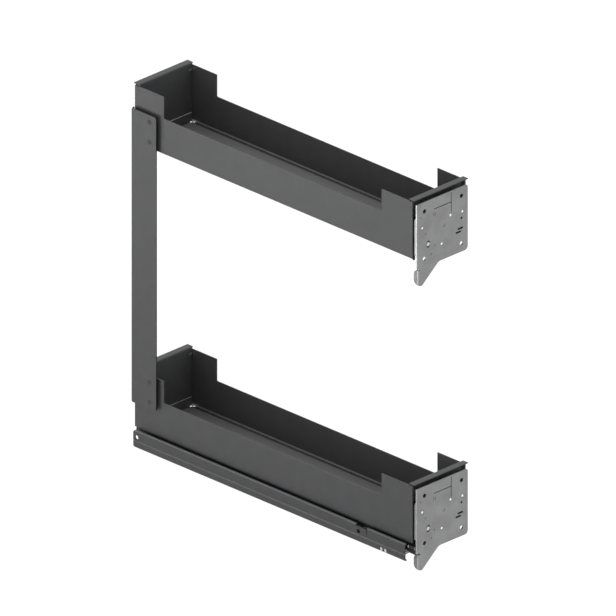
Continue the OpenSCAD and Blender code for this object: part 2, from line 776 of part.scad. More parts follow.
module bar_spacers() {
    color(black_plastic) for (z = bar_rivet_zs) difference() {
        rod_x(bar_x + bar_t, tray_x, tray_rear - bar_rivet_inset, z, spacer_d);
        rod_x(bar_x, tray_x + eps, tray_rear - bar_rivet_inset, z, bar_rivet_d + rivet_gap);
    }
}

module bar_rivets() {
    color(anthracite) for (z = bar_rivet_zs) {
        rod_x(bar_x, bar_x + 0.7, tray_rear - bar_rivet_inset, z, bar_rivet_d + 2.4);
        rod_x(bar_x, tray_x + sheet_t + 0.6, tray_rear - bar_rivet_inset, z, bar_rivet_d);
        rod_x(tray_x + sheet_t, tray_x + sheet_t + 1.2, tray_rear - bar_rivet_inset, z, bar_rivet_d + 3);
    }
}

// Front bracket: X from the plate's left edge, Z from its top edge, downwards

module on_plate(z) {
    translate([plate_x, 0, z + plate_top]) children();
}

// Outline of the front plate with its tongue
function plate_outline() = outline([
    [0, 0, 1], [plate_w, 0, 4], [plate_w, -plate_h, 5], [38, -plate_h, 9],
    [14.5, -plate_h - tongue_l + 5, 3], [8.5, -plate_h - tongue_l, 4],
    [lobe_x, -plate_h - tongue_l + 2, 3], [lobe_x, -plate_h - 2, 0], [6, -plate_h - 2, 0.9],
    [6, -plate_h, 0.9], [0, -plate_h, 1]
]);

// Small holes of the plate and its pressed marks: left, top and diameter
plain_holes = [[77.2, 42.4, 3.2]];
pressed_marks = [
    [14.9, 43.6, 2.4], [30.3, 64.1, 2.2], [24.8, 73.7, 2.6],
    [13.8, 83.2, 1.8], [6.7, 19.4, 2], [46.3, 42.2, 5]
];
// Spring finger: left, top, length of its slit along and of its slit down
finger = [30, 15.4, 30, 27.6];
slit_w = 1;
// Lanced slots: left, bottom, length
lanced_slots = [[70.6, 57, 9], [67.2, 61.2, 9]];
lanced_h = 2.5;

module plate_cuts() {
    door_x = [door_hole_left, door_hole_left + door_hole_pitch];
    door_z = [door_hole_top, door_hole_top + door_hole_pitch];
    for (x = door_x, z = door_z) translate([x, -z]) circle(d = door_hole_d);
    for (h = plain_holes) translate([h[0], -h[1]]) circle(d = h[2]);
    // window that the cam's front boss slides in
    window_h = cam_boss_d + 2 * (height_adjust + boss_gap);
    slot_shape(cam_spot[0], -cam_spot[1], cam_boss_d + 2 * boss_gap, window_h);
    for (s = concat(stud_spots, pin_spots)) translate([s[0], -s[1]]) circle(d = staked_d + rivet_gap);
    // slits that free the spring finger along the top edge
    translate([finger[0], -finger[1]]) square([finger[2], slit_w]);
    translate([finger[0] + finger[2] - slit_w, -finger[3] - 2]) square([slit_w, finger[3]]);
    for (l = lanced_slots) translate([l[0], -l[1]]) square([l[2], lanced_h]);
}

module front_plate() {
    color(zinc) {
        difference() {
            along_y(plate_back_y, plate_face_y) difference() {
                polygon(plate_outline());
                plate_cuts();
            }
            for (m = pressed_marks)
                rod_y(plate_face_y + mark_depth, plate_face_y - eps, m[0], -m[1], m[2]);
            for (s = concat(stud_spots, pin_spots))
                rod_y(plate_face_y + mark_depth, plate_face_y - eps, s[0], -s[1], staked_d + 2 * stake_ring);
        }
        // stiffening flange turned back from the left edge
        along_x(0, 1.5) polygon(outline([
            [plate_back_y - 0.5, -18, 0], [plate_back_y, -18, 0], [plate_face_y + 4.3, -23, 0.8],
            [plate_face_y + 4.3, -69, 0.8], [plate_back_y - 0.5, -69, 0]
        ]));
        // thumb lobe turned back from the tongue
        along_x(lobe_x, lobe_x + lobe_t) polygon(outline([
            [plate_back_y - 0.5, -plate_h - 2, 0], [plate_back_y, -plate_h - 2, 0],
            [plate_face_y + lobe_d, -plate_h - 2, 5.9], [plate_face_y + lobe_d, -plate_h - 21.5, 5.9],
            [plate_back_y - 0.5, -plate_h - 21.5, 0]
        ]));
    }
}

// Guide studs and pins, staked flush into the plate, and the cam's follower on its back
module plate_studs() {
    ear_face_y = base_foot_y - base_t;
    color(zinc) {
        for (s = stud_spots) {
            rod_y(plate_back_y, plate_face_y, s[0], -s[1], staked_d);
            rod_y(base_face_y - slide_gap, plate_back_y, s[0], -s[1], stud_collar_d);
            rod_y(base_back_y + slide_gap, plate_back_y, s[0], -s[1], stud_d);
            rod_y(base_back_y + slide_gap + 1.5, base_back_y + slide_gap, s[0], -s[1], stud_head_d);
        }
        for (s = pin_spots) {
            rod_y(plate_back_y, plate_face_y, s[0], -s[1], staked_d);
            rod_y(ear_face_y - slide_gap, plate_back_y, s[0], -s[1], pin_shoulder_d);
            rod_y(base_foot_y - slide_gap, plate_back_y, s[0], -s[1], stud_d);
        }
        rod_y(base_face_y - slide_gap, plate_back_y, cam_spot[0], -cam_spot[1] + cam_pin_r, cam_pin_d);
    }
}

// Outline of the base's raised middle
module base_outline(inset) {
    polygon(outline([
        [base_x0 + inset, base_z0 + inset, 4 - inset], [base_x1 - inset, base_z0 + inset, 4 - inset],
        [base_x1 - inset, base_z1 - inset, 4 - inset], [base_x0 + inset, base_z1 - inset, 4 - inset]
    ]));
}

module bracket_base() {
    color(black_steel) difference() {
        union() {
            along_y(base_foot_y, base_face_y) base_outline(0);
            along_y(base_foot_y, base_foot_y - base_t) polygon(outline([
                [ear_x0, -ear_bottom, 0], [ear_x1, -ear_bottom, 4],
                [ear_x1, -ear_top, 4], [ear_x0, -ear_top, 4]
            ]));
            // leg down to the tray's lower edge
            along_y(base_foot_y, base_foot_y - base_t) polygon(outline([
                [ear_x0, -ear_bottom + eps, 0], [ear_x0, -plate_top - leg_drop, 0.8],
                [ear_x0 + leg_w, -plate_top - leg_drop, 0.8], [ear_x0 + leg_w, -ear_bottom + eps, 0]
            ]));
        }
        along_y(base_foot_y + eps, base_back_y) base_outline(base_t);
        for (s = stud_spots) along_y(base_back_y + eps, base_face_y - eps)
            slot_shape(s[0], -s[1], stud_d + 2 * slide_gap, stud_d + 2 * (height_adjust + slide_gap));
        for (s = pin_spots) along_y(base_foot_y + eps, base_foot_y - base_t - eps)
            slot_shape(s[0], -s[1], stud_d + 2 * slide_gap, stud_d + 2 * (height_adjust + slide_gap));
        for (x = clamp_xs) along_y(base_foot_y + eps, base_foot_y - base_t - eps)
            slot_shape(x, -clamp_top, clamp_d + 2 * (side_adjust + slide_gap), clamp_d + 0.4);
        rod_y(base_back_y + eps, base_face_y - eps, cam_spot[0], -cam_spot[1], 6.8);
    }
}

// Screws from inside the tray, through its front panel and the base's ears
module clamp_screws() {
    inner_y = web_face_y + sheet_t;
    nut_y = base_foot_y - base_t - slide_gap;
    color(steel) for (x = clamp_xs) difference() {
        union() {
            rod_y(inner_y, nut_y - nut_h - 0.5, x, -clamp_top, clamp_d);
            rod_y(inner_y + clamp_head_h, inner_y, x, -clamp_top, clamp_head_d);
        }
        // cross recess in the head
        for (a = [0, 90])
            translate([x, inner_y + clamp_head_h, -clamp_top]) rotate([0, a, 0])
                cube([3.4, 2.6, 0.9], center = true);
    }
}

// Nuts of those screws, in front of the ears
module clamp_nuts() {
    nut_y = base_foot_y - base_t - slide_gap;
    color(steel) for (x = clamp_xs) along_y(nut_y, nut_y - nut_h) translate([x, -clamp_top])
        rotate(30) difference() {
            circle(d = nut_w / cos(30), $fn = 6);
            circle(d = clamp_d + rivet_gap);
        }
}

// Snail slot of the cam: the pin rises by cam_lead for each degree of turn
function spiral_edge(shift) = [
    for (a = [-110:5:105]) (cam_pin_r + cam_lead * a + shift) * [cos(90 + a), sin(90 + a)]
];

module height_cam() {
    slot_half = cam_pin_d / 2 + slide_gap;
    color(steel) translate([cam_spot[0], 0, -cam_spot[1]]) difference() {
        union() {
            along_y(base_face_y - slide_gap, base_face_y - slide_gap - cam_t) difference() {
                circle(r = cam_r);
                polygon(concat(spiral_edge(slot_half), backwards(spiral_edge(-slot_half))));
            }
            rod_y(base_back_y, base_face_y - slide_gap, 0, 0, 6.6);
            rod_y(base_face_y - slide_gap - cam_t, plate_face_y, 0, 0, cam_boss_d);
        }
        // key recess, reached from inside the tray
        along_y(base_back_y + eps, base_face_y - 1) circle(d = key_w, $fn = 6);
    }
}

module lower_bracket_base() { on_plate(lower_z) bracket_base(); }
module lower_clamp_screws() { on_plate(lower_z) clamp_screws(); }
module lower_clamp_nuts() { on_plate(lower_z) clamp_nuts(); }
module lower_height_cam() { on_plate(lower_z) height_cam(); }
module lower_plate_studs() { on_plate(lower_z) plate_studs(); }
module lower_front_plate() { on_plate(lower_z) front_plate(); }
module upper_bracket_base() { on_plate(upper_z) bracket_base(); }
module upper_clamp_screws() { on_plate(upper_z) clamp_screws(); }
module upper_clamp_nuts() { on_plate(upper_z) clamp_nuts(); }
module upper_height_cam() { on_plate(upper_z) height_cam(); }
module upper_plate_studs() { on_plate(upper_z) plate_studs(); }
module upper_front_plate() { on_plate(upper_z) front_plate(); }

wall_rail();
lower_channel();
rear_buffer();
outer_ball_cage();
outer_balls();
middle_member();
inner_ball_cage();
inner_balls();
drawer_member();
runner_rivets();
front_catch();
catch_pin();
catch_lever();
lower_tray();
lower_rear_panel();
lower_front_panel();
lower_mat();
upper_tray();
upper_rear_panel();
upper_front_panel();
upper_mat();
rear_bar();
bar_spacers();
bar_rivets();
lower_bracket_base();
lower_clamp_screws();
lower_clamp_nuts();
lower_height_cam();
lower_plate_studs();
lower_front_plate();
upper_bracket_base();
upper_clamp_screws();
upper_clamp_nuts();
upper_height_cam();
upper_plate_studs();
upper_front_plate();
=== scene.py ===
# %% [markdown]
# A pull-out spice rack for a narrow base cabinet. The construction model already holds
# every real piece: two folded trays, their end panels, the rear bar, the runner and the
# two door brackets. This lesson dresses them. It loads them as a fixed frame, gives each
# the finish of the real one, and builds a plain studio around them.

# %% Load the frame
import math

import bmesh
import bpy
from mathutils import Matrix, Vector


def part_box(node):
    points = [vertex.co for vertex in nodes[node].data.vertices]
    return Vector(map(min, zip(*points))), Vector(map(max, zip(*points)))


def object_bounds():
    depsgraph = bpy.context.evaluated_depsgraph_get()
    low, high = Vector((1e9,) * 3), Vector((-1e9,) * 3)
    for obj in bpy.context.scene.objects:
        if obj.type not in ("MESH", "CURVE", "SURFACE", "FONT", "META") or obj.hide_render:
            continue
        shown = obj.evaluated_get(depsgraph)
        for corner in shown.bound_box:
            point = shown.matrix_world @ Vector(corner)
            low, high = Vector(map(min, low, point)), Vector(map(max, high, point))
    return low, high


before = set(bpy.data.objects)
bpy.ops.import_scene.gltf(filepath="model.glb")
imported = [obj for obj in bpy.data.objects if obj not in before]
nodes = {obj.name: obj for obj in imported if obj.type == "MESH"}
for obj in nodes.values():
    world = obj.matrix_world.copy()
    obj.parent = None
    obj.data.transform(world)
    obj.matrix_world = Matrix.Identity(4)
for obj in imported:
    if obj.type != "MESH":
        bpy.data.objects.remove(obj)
cad_box = [list(corner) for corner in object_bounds()]
print("pieces:", len(nodes), "box in metres:", cad_box)

# %% [markdown]
# The photograph is a drawing-like view: lines that run away from the eye stay parallel.
# So the camera is orthographic. Its scale says how much of the world the picture takes in
# from left to right.

# %% Camera
PICTURE_WIDTH = 0.754
FAR_LIMIT = 20

camera_data = bpy.data.cameras.new("photo_camera")
camera_data.type = "ORTHO"
camera_data.ortho_scale = PICTURE_WIDTH
camera_data.clip_end = FAR_LIMIT
camera = bpy.data.objects.new("photo_camera", camera_data)
bpy.context.scene.collection.objects.link(camera)
bpy.context.scene.camera = camera
print("picture width:", PICTURE_WIDTH, "m")

# %% [markdown]
# The camera looks along the diagonal between the rack's front and its left side, 25 degrees
# down. Three arrows describe that view: forward, right and up. Each is square to the others,
# so two cross products give them.

# %% Direction of the view
AZIMUTH = math.radians(-45)
ELEVATION = math.radians(25)

forward = Vector((-math.sin(AZIMUTH) * math.cos(ELEVATION),
                  math.cos(AZIMUTH) * math.cos(ELEVATION), -math.sin(ELEVATION)))
right = forward.cross(Vector((0, 0, 1))).normalized()
up = right.cross(forward)
print("camera looks along", [round(c, 3) for c in forward])

# %% [markdown]
# A known point fixes the camera's place: the frame's origin lies at a known pixel of the
# square picture. The eye is set so that the origin falls there. How far back the eye stands
# changes nothing in a view without perspective.

# %% Aim the camera
PIXELS = 616
ORIGIN_PIXEL = (247.54, 484.3)
EYE_DISTANCE = 3

pixel_step = PICTURE_WIDTH / PIXELS
across = (ORIGIN_PIXEL[0] - PIXELS / 2) * pixel_step
down = (ORIGIN_PIXEL[1] - PIXELS / 2) * pixel_step
eye = -right * across + up * down - forward * EYE_DISTANCE
turn = Matrix((right, up, -forward)).transposed().to_4x4()
camera.matrix_world = Matrix.Translation(eye) @ turn
print("eye at", [round(c, 3) for c in eye])

# %% [markdown]
# Each finish is a material: a small net of nodes in front of a Principled shader. Plain
# numbers sit on the shader's own sockets. Patterns read Object coordinates, which are metres
# on these pieces, so every grain has its real size.

# %% Start a finish
SHADER = "Principled BSDF"


def new_finish(name):
    """A material, its node tree, its shader and its Object coordinates."""
    finish = bpy.data.materials.new(name)
    finish.use_nodes = True
    tree = finish.node_tree
    coords = tree.nodes.new("ShaderNodeTexCoord")
    return finish, tree, tree.nodes[SHADER], coords.outputs["Object"]


print("materials before the first finish:", len(bpy.data.materials))

# %% [markdown]
# No real surface is one flat colour. A noise texture draws soft clouds, whose size is about
# one over its scale, and a Mapping node can stretch them into lines. A colour ramp then turns
# the cloud's value into two near shades.

# %% Clouds and shades
CLOUD_FROM, CLOUD_TO = 0.35, 0.65
NO_TINT = (1.0, 1.0, 1.0)


def noise(tree, place, scale, detail=2.0, stretch=None):
    """Noise with features of about 1 / scale metres, stretched along an axis if asked."""
    if stretch:
        mapping = tree.nodes.new("ShaderNodeMapping")
        mapping.inputs["Scale"].default_value = stretch
        tree.links.new(place, mapping.inputs["Vector"])
        place = mapping.outputs["Vector"]
    node = tree.nodes.new("ShaderNodeTexNoise")
    node.inputs["Scale"].default_value = scale
    node.inputs["Detail"].default_value = detail
    tree.links.new(place, node.inputs["Vector"])
    return node.outputs["Fac"]


def grey(shade, tint=NO_TINT):
    """A grey of that shade, with a slight tint if asked."""
    return tuple(shade * part for part in tint)


def ramp(tree, value, low, high):
    """Two colours, mixed by a value."""
    node = tree.nodes.new("ShaderNodeValToRGB")
    ends = node.color_ramp.elements
    ends[0].position, ends[1].position = CLOUD_FROM, CLOUD_TO
    ends[0].color = (*low, 1)
    ends[1].color = (*high, 1)
    tree.links.new(value, node.inputs["Fac"])
    return node.outputs["Color"]


print("a ramp runs from", CLOUD_FROM, "to", CLOUD_TO)

# %% [markdown]
# Light shows a surface by its gloss as much as by its colour. So a noise also moves the
# roughness a little, and drives a Bump node, which tilts the shading without moving the
# mesh. Its depth is given in metres, and is a tenth of a millimetre or so.

# %% Roughness and relief
NOISE_FROM, NOISE_TO = 0.3, 0.7


def spread(tree, value, low, high):
    """A value between 0 and 1, brought into another range."""
    node = tree.nodes.new("ShaderNodeMapRange")
    node.inputs["From Min"].default_value = NOISE_FROM
    node.inputs["From Max"].default_value = NOISE_TO
    node.inputs["To Min"].default_value = low
    node.inputs["To Max"].default_value = high
    tree.links.new(value, node.inputs["Value"])
    return node.outputs["Result"]


def bump(tree, shader, heights, strength, depth):
    """Fine relief from a height value, depth in metres."""
    node = tree.nodes.new("ShaderNodeBump")
    node.inputs["Strength"].default_value = strength
    node.inputs["Distance"].default_value = depth
    tree.links.new(heights, node.inputs["Height"])
    tree.links.new(node.outputs["Normal"], shader.inputs["Normal"])


print("noise counts from", NOISE_FROM, "to", NOISE_TO)

# %% [markdown]
# Powder coat is melted plastic powder: an even dark grey with a soft sheen and a very fine
# orange-peel skin, less than a millimetre from bump to bump. The colour hardly varies, so
# the relief and a slight change of roughness carry the look.

# %% Powder coat
MILLIMETRES = 1000
COAT_CLOUD, COAT_PEEL = 60, 1400
COAT_TINT = (0.98, 1.0, 1.04)
COAT_DARKEST, COAT_LIGHTEST = 0.94, 1.06
SATIN = 0.25


def powder_coat(name, shade, rough=(0.36, 0.46)):
    """A satin coat with wide, faint clouds and an orange-peel skin."""
    finish, tree, shader, place = new_finish(name)
    cloud = noise(tree, place, COAT_CLOUD)
    peel = noise(tree, place, COAT_PEEL, detail=3.0)
    colours = ramp(tree, cloud, grey(shade * COAT_DARKEST, COAT_TINT),
                   grey(shade * COAT_LIGHTEST, COAT_TINT))
    tree.links.new(colours, shader.inputs["Base Color"])
    tree.links.new(spread(tree, peel, *rough), shader.inputs["Roughness"])
    shader.inputs["Specular IOR Level"].default_value = SATIN
    bump(tree, shader, peel, strength=0.2, depth=0.0001)
    return finish


print("peel from bump to bump:", round(MILLIMETRES / COAT_PEEL, 1), "mm")

# %% [markdown]
# The rack has several coats. Trays, bar and rail get a neutral one here, of shade 1, because
# later cells give them tones that change over the piece. The end panels, the drawer member,
# the bar's rivets and the black bracket bases have one shade each. The drawer member's is
# nearly black: a painted shade for the dark gap under the trays.

# %% Coats of the rack
NEUTRAL = 1.0

tray_coat = powder_coat("tray_powder_coat", NEUTRAL)
bar_coat = powder_coat("bar_powder_coat", NEUTRAL)
panel_coat = powder_coat("panel_powder_coat", shade=0.046)
rail_coat = powder_coat("rail_powder_coat", NEUTRAL, rough=(0.32, 0.42))
# Nearly black: painted shade for the gap under the trays.
member_shade_coat = powder_coat("drawer_member_shade_coat", shade=0.006)
rivet_coat = powder_coat("dark_rivet_coat", shade=0.022, rough=(0.5, 0.6))
black_coat = powder_coat("black_bracket_coat", shade=0.012, rough=(0.4, 0.5))
print("coats:", [m.name for m in bpy.data.materials if m.name.endswith("coat")])

# %% [markdown]
# Zinc plating on cold-rolled sheet is a satin metal. It keeps the sheet's faint rolling
# lines, and has cloudy patches where the passivation is thicker. Noise that is squeezed far
# more across the lines than along them draws the lines.

# %% Zinc plate
ZINC_CLOUD, ROLLING = 45, 6
ZINC_DARKEST, ZINC_LIGHTEST = 0.9, 1.08
ZINC_TINT = (0.99, 1.0, 1.01)
METAL = 0.85


def zinc_plate(name, shade, rough=(0.34, 0.5), lines=(40, 40, 900)):
    """A satin metal with clouds and rolling lines."""
    finish, tree, shader, place = new_finish(name)
    cloud = noise(tree, place, ZINC_CLOUD, detail=4.0)
    rolling = noise(tree, place, ROLLING, detail=6.0, stretch=lines)
    colours = ramp(tree, cloud, grey(shade * ZINC_DARKEST),
                   grey(shade * ZINC_LIGHTEST, ZINC_TINT))
    tree.links.new(colours, shader.inputs["Base Color"])
    tree.links.new(spread(tree, rolling, *rough), shader.inputs["Roughness"])
    shader.inputs["Metallic"].default_value = METAL
    bump(tree, shader, rolling, strength=0.12, depth=0.00005)
    return finish


print("metal's clouds:", round(MILLIMETRES / ZINC_CLOUD), "mm wide")

# %% [markdown]
# The bracket plates, the runner's channel and its middle member are plated sheet, and the
# runner's lines run lengthwise. Balls, pin, lever, screws, nuts, cams and the runner's rivets
# are bright steel. The ends of the plates' studs are filed, so they are brightest. The upper
# and the lower bracket have their own plate and stud finishes, because later cells colour
# each of them in its own way: the upper plate gets the brighter painted highlight on its
# edge.

# %% Metals of the rack
upper_plate_zinc = zinc_plate("upper_bracket_zinc", shade=0.245)
lower_plate_zinc = zinc_plate("lower_bracket_zinc", shade=0.245)
member_zinc = zinc_plate("runner_zinc", shade=0.42, lines=(900, 30, 900))
bright_steel = zinc_plate("bright_steel", shade=0.6, rough=(0.22, 0.32))
upper_stud_steel = zinc_plate("upper_stud_steel", shade=0.9, rough=(0.15, 0.25))
lower_stud_steel = zinc_plate("lower_stud_steel", shade=0.9, rough=(0.15, 0.25))
print("metals:", [m.name for m in bpy.data.materials if m.name.endswith(("zinc", "steel"))])

# %% [markdown]
# Painted highlights and shades sit at known places of a piece, and so does the plated top of
# a stud, so the finishes ask where they are. The Object coordinates give the place in metres,
# the Normal gives the way that the surface faces, and Math nodes compare them with a limit.
# The answer is a mask of 0 and 1.

# %% Find a place on a piece
SKIN = 0.0001


def one_part(tree, vector, axis):
    """One of the three numbers of a vector."""
    parts = tree.nodes.new("ShaderNodeSeparateXYZ")
    tree.links.new(vector, parts.inputs["Vector"])
    return parts.outputs[axis]


def own_axis(tree, axis):
    """One of the piece's own coordinates, in metres."""
    return one_part(tree, tree.nodes.new("ShaderNodeTexCoord").outputs["Object"], axis)


def facing(tree, axis):
    """How far the surface faces along an axis, -1 to 1."""
    return one_part(tree, tree.nodes.new("ShaderNodeNewGeometry").outputs["Normal"], axis)


def math_node(tree, operation, *values):
    """A Math node that works on sockets and plain numbers."""
    node = tree.nodes.new("ShaderNodeMath")
    node.operation = operation
    for socket, value in zip(node.inputs, values):
        if isinstance(value, float):
            socket.default_value = value
        else:
            tree.links.new(value, socket)
    return node.outputs["Value"]


print("a place counts as past a face from", SKIN * MILLIMETRES, "mm on")

# %% [markdown]
# A mask needs a colour to bring in. A Mix node lays that colour over what the shader has so
# far, and its result goes on to the shader. Several can follow each other, like layers.
# Painted highlights and shades get a small cloud of their own, so that they aren't flat
# either.

# %% Lay one colour over another
PAINTED_LIGHT_CLOUD = 300


def lay_over(tree, over, where=None, blend="MIX"):
    """Blend one more colour into the shader's, by a mask or all over."""
    colour = tree.nodes[SHADER].inputs["Base Color"]
    mix = tree.nodes.new("ShaderNodeMix")
    mix.data_type = "RGBA"
    mix.blend_type = blend
    factor, first, second = [socket for socket in mix.inputs if socket.enabled]
    if where is None:
        factor.default_value = 1
    else:
        tree.links.new(where, factor)
    tree.links.new(colour.links[0].from_socket, first)
    tree.links.new(over, second)
    tree.links.new([socket for socket in mix.outputs if socket.enabled][0], colour)


def mix_in(tree, where, low, high, scale=PAINTED_LIGHT_CLOUD):
    """A cloudy grey where the mask is 1."""
    place = tree.nodes.new("ShaderNodeTexCoord").outputs["Object"]
    cloud = noise(tree, place, scale, detail=3.0)
    lay_over(tree, ramp(tree, cloud, grey(low), grey(high)), where)


print("worn spots' clouds:", round(MILLIMETRES / PAINTED_LIGHT_CLOUD, 1), "mm wide")

# %% [markdown]
# The bracket plates are sheared and bent from plated sheet. Their left edge and the flange
# behind it carry a painted highlight: paler and less metallic than the face, and brighter on
# the upper plate than on the lower. What is bent back behind the face, such as the thumb
# lobe, is duller: a painted shade.

# %% Painted highlight and shade on the bracket plates
PLATE_THICK = 0.002
PLATE_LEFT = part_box("upper_front_plate")[0][0]
PLATE_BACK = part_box("upper_front_plate")[0][1] + PLATE_THICK
EDGE_HIGHLIGHT_METAL = 0.1


def paint_bend_shade_and_edge_highlight(finish, low, high):
    """Painted shade on the bends, and a painted highlight on the left edge, which is also
    less metallic.
    """
    tree = finish.node_tree
    bent = math_node(tree, "GREATER_THAN", own_axis(tree, "Y"), PLATE_BACK + SKIN)
    # Painted shade on what is bent back behind the face.
    mix_in(tree, bent, low=0.125, high=0.15)
    edge = math_node(tree, "LESS_THAN", own_axis(tree, "X"), PLATE_LEFT + SKIN)
    # Painted highlight on the left edge.
    mix_in(tree, edge, low, high)
    metal = spread(tree, edge, low=METAL, high=EDGE_HIGHLIGHT_METAL)
    tree.links.new(metal, tree.nodes[SHADER].inputs["Metallic"])


paint_bend_shade_and_edge_highlight(upper_plate_zinc, low=0.54, high=0.66)
paint_bend_shade_and_edge_highlight(lower_plate_zinc, low=0.26, high=0.32)
print("plates' left edge", round(PLATE_LEFT, 5), "back", round(PLATE_BACK, 5))

# %% [markdown]
# Five studs and pins are staked into each plate. Four of them are filed flush afterwards and
# shine. The top one is left as it was plated, so above a certain height the studs take the
# plate's own grey.

# %% Plated top stud
FILED_BELOW = 0.027


def plated_top(finish, plate):
    """The plate's grey where a stud is near the plate's top edge."""
    tree = finish.node_tree
    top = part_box(plate)[1][2]
    where = math_node(tree, "GREATER_THAN", own_axis(tree, "Z"), top - FILED_BELOW)
    mix_in(tree, where, low=0.22, high=0.265, scale=ZINC_CLOUD)


plated_top(upper_stud_steel, "upper_front_plate")
plated_top(lower_stud_steel, "lower_front_plate")
print("studs filed up to", FILED_BELOW, "m below the plate's top")

# %% [markdown]
# The wall rail is roll-formed before it is coated. A painted highlight follows the groove and
# the top of the hem, as a pale line on each. A colour ramp along the piece's own Z gives both
# lines at once. A new ramp has its two ends, so only the tones between them are added. The
# ramp's colour is multiplied with the neutral coat's, whose faint clouds stay.

# %% Painted highlights on the wall rail
RAIL_LOW, RAIL_HIGH = (corner[2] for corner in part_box("wall_rail"))
# Painted highlights: the pale tones at the groove and at the top of the hem.
RAIL_HIGHLIGHT_TONES = [(0.0, 0.024), (0.35, 0.029), (0.385, 0.092), (0.42, 0.027), (0.92, 0.028),
              (0.97, 0.085), (1.0, 0.13)]


def tones_by_height(finish, bottom, top, tones):
    """Tone a neutral coat by its height between bottom and top."""
    tree = finish.node_tree
    height = tree.nodes.new("ShaderNodeMapRange")
    height.inputs["From Min"].default_value = bottom
    height.inputs["From Max"].default_value = top
    tree.links.new(own_axis(tree, "Z"), height.inputs["Value"])
    scale = tree.nodes.new("ShaderNodeValToRGB")
    elements = scale.color_ramp.elements
    for place, _ in tones[1:-1]:
        elements.new(place)
    for element, (place, tone) in zip(elements, tones):
        element.position = place
        element.color = (*grey(tone), 1)
    tree.links.new(height.outputs["Result"], scale.inputs["Fac"])
    lay_over(tree, scale.outputs["Color"], blend="MULTIPLY")


tones_by_height(rail_coat, RAIL_LOW, RAIL_HIGH, RAIL_HIGHLIGHT_TONES)
print("rail from", round(RAIL_LOW, 4), "to", round(RAIL_HIGH, 4))

# %% [markdown]
# The coat of the trays and the bar carries a painted shade: it is darker towards the bottom
# of the rack. On the trays, everything but the outer left face is painted paler, above all
# the inside: painted light.

# %% Painted shade and light on the trays and the bar
RACK_LOW, RACK_HIGH = cad_box[0][2], cad_box[1][2]
TRAY_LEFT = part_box("lower_tray")[0][0]
# Painted shade: darker towards the bottom of the rack.
HEIGHT_SHADE_TONES = [(0.1, 0.035), (1.0, 0.042)]

for coat in (tray_coat, bar_coat):
    tones_by_height(coat, RACK_LOW, RACK_HIGH, HEIGHT_SHADE_TONES)
tray_tree = tray_coat.node_tree
# Painted light: paler everywhere on the trays but the outer left face.
painted_light_inside = math_node(tray_tree, "GREATER_THAN", own_axis(tray_tree, "X"), TRAY_LEFT + SKIN)
mix_in(tray_tree, painted_light_inside, low=0.051, high=0.056, scale=COAT_CLOUD)
print("trays' outer left face at", round(TRAY_LEFT, 4))

# %% [markdown]
# Two painted highlights run inside each tray. The floor is turned up at both ends, and one
# highlight lies on its cut edge: it is the only place at its height that faces up. The other
# lies on the bend at the foot of the right wall. Bands of height and width, and the direction
# of the surface, find both.

# %% Painted highlights in the trays
FLANGE_HIGH = 0.014
EDGE_BAND = 0.0003
BEND_MIDDLE, BEND_BAND = 0.003, 0.0011
FOOT_MIDDLE, FOOT_BAND = 0.0024, 0.00135
MOSTLY = 0.5


def paint_highlight_lines(tray):
    """Painted highlights: paler greys on the cut edges and the right bend of one tray."""
    low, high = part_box(tray)
    height = own_axis(tray_tree, "Z")
    edge = math_node(tray_tree, "COMPARE", height, low[2] + FLANGE_HIGH, EDGE_BAND)
    upward = math_node(tray_tree, "GREATER_THAN", facing(tray_tree, "Z"), MOSTLY)
    # Painted highlight on the cut edge.
    mix_in(tray_tree, math_node(tray_tree, "MULTIPLY", edge, upward), low=0.4, high=0.5)
    level = math_node(tray_tree, "COMPARE", height, low[2] + BEND_MIDDLE, BEND_BAND)
    foot = math_node(tray_tree, "COMPARE", own_axis(tray_tree, "X"),
                     high[0] - FOOT_MIDDLE, FOOT_BAND)
    # Painted highlight on the bend.
    mix_in(tray_tree, math_node(tray_tree, "MULTIPLY", level, foot), low=0.24, high=0.28)


paint_highlight_lines("lower_tray")
paint_highlight_lines("upper_tray")
print("cut edges", FLANGE_HIGH, "m and bends", BEND_MIDDLE, "m above the undersides")

# %% [markdown]
# The bar's front edge is a narrow cut edge. It is painted nearly black, a painted shadow of
# the gap between bar and tray, so a dark line runs down the bar's right side. Its surface
# faces the front, along the negative Y axis.

# %% Painted shadow on the bar's edge
bar_tree = bar_coat.node_tree
# Painted shadow on the faces that face the front.
front_edge_shadow = math_node(bar_tree, "LESS_THAN", facing(bar_tree, "Y"), -MOSTLY)
mix_in(bar_tree, front_edge_shadow, low=0.004, high=0.006)
print("nodes in the bar's finish:", len(bar_tree.nodes))

# %% [markdown]
# Moulded plastic parts are black with a fine spark-eroded grain. One noise carries it all:
# the shade, the roughness and the relief.

# %% Black plastic
GRAIN = 2200


def moulded_black(name):
    """Black plastic with a fine grain."""
    finish, tree, shader, place = new_finish(name)
    grain = noise(tree, place, GRAIN)
    colours = ramp(tree, grain, low=grey(0.012), high=grey(0.022))
    tree.links.new(colours, shader.inputs["Base Color"])
    tree.links.new(spread(tree, grain, low=0.45, high=0.6), shader.inputs["Roughness"])
    bump(tree, shader, grain, strength=0.3, depth=0.0001)
    return finish


black_moulding = moulded_black("black_moulding")
print("grain:", round(MILLIMETRES / GRAIN, 2), "mm")

# %% [markdown]
# The mats are dark grey rubber sheet with a matt, slightly pebbled face that keeps jars from
# sliding. Along their long sides runs a darker border, a painted shadow. The paler field
# reaches equally far to both sides of the mat's middle line, and the painted shadow is what
# lies beyond it.

# %% Rubber mats
PEBBLE, MAT_CLOUD = 900, 14
MAT_SHADOW_BORDER = 0.0028
MAT_LEFT, MAT_RIGHT = (corner[0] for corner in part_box("lower_mat"))


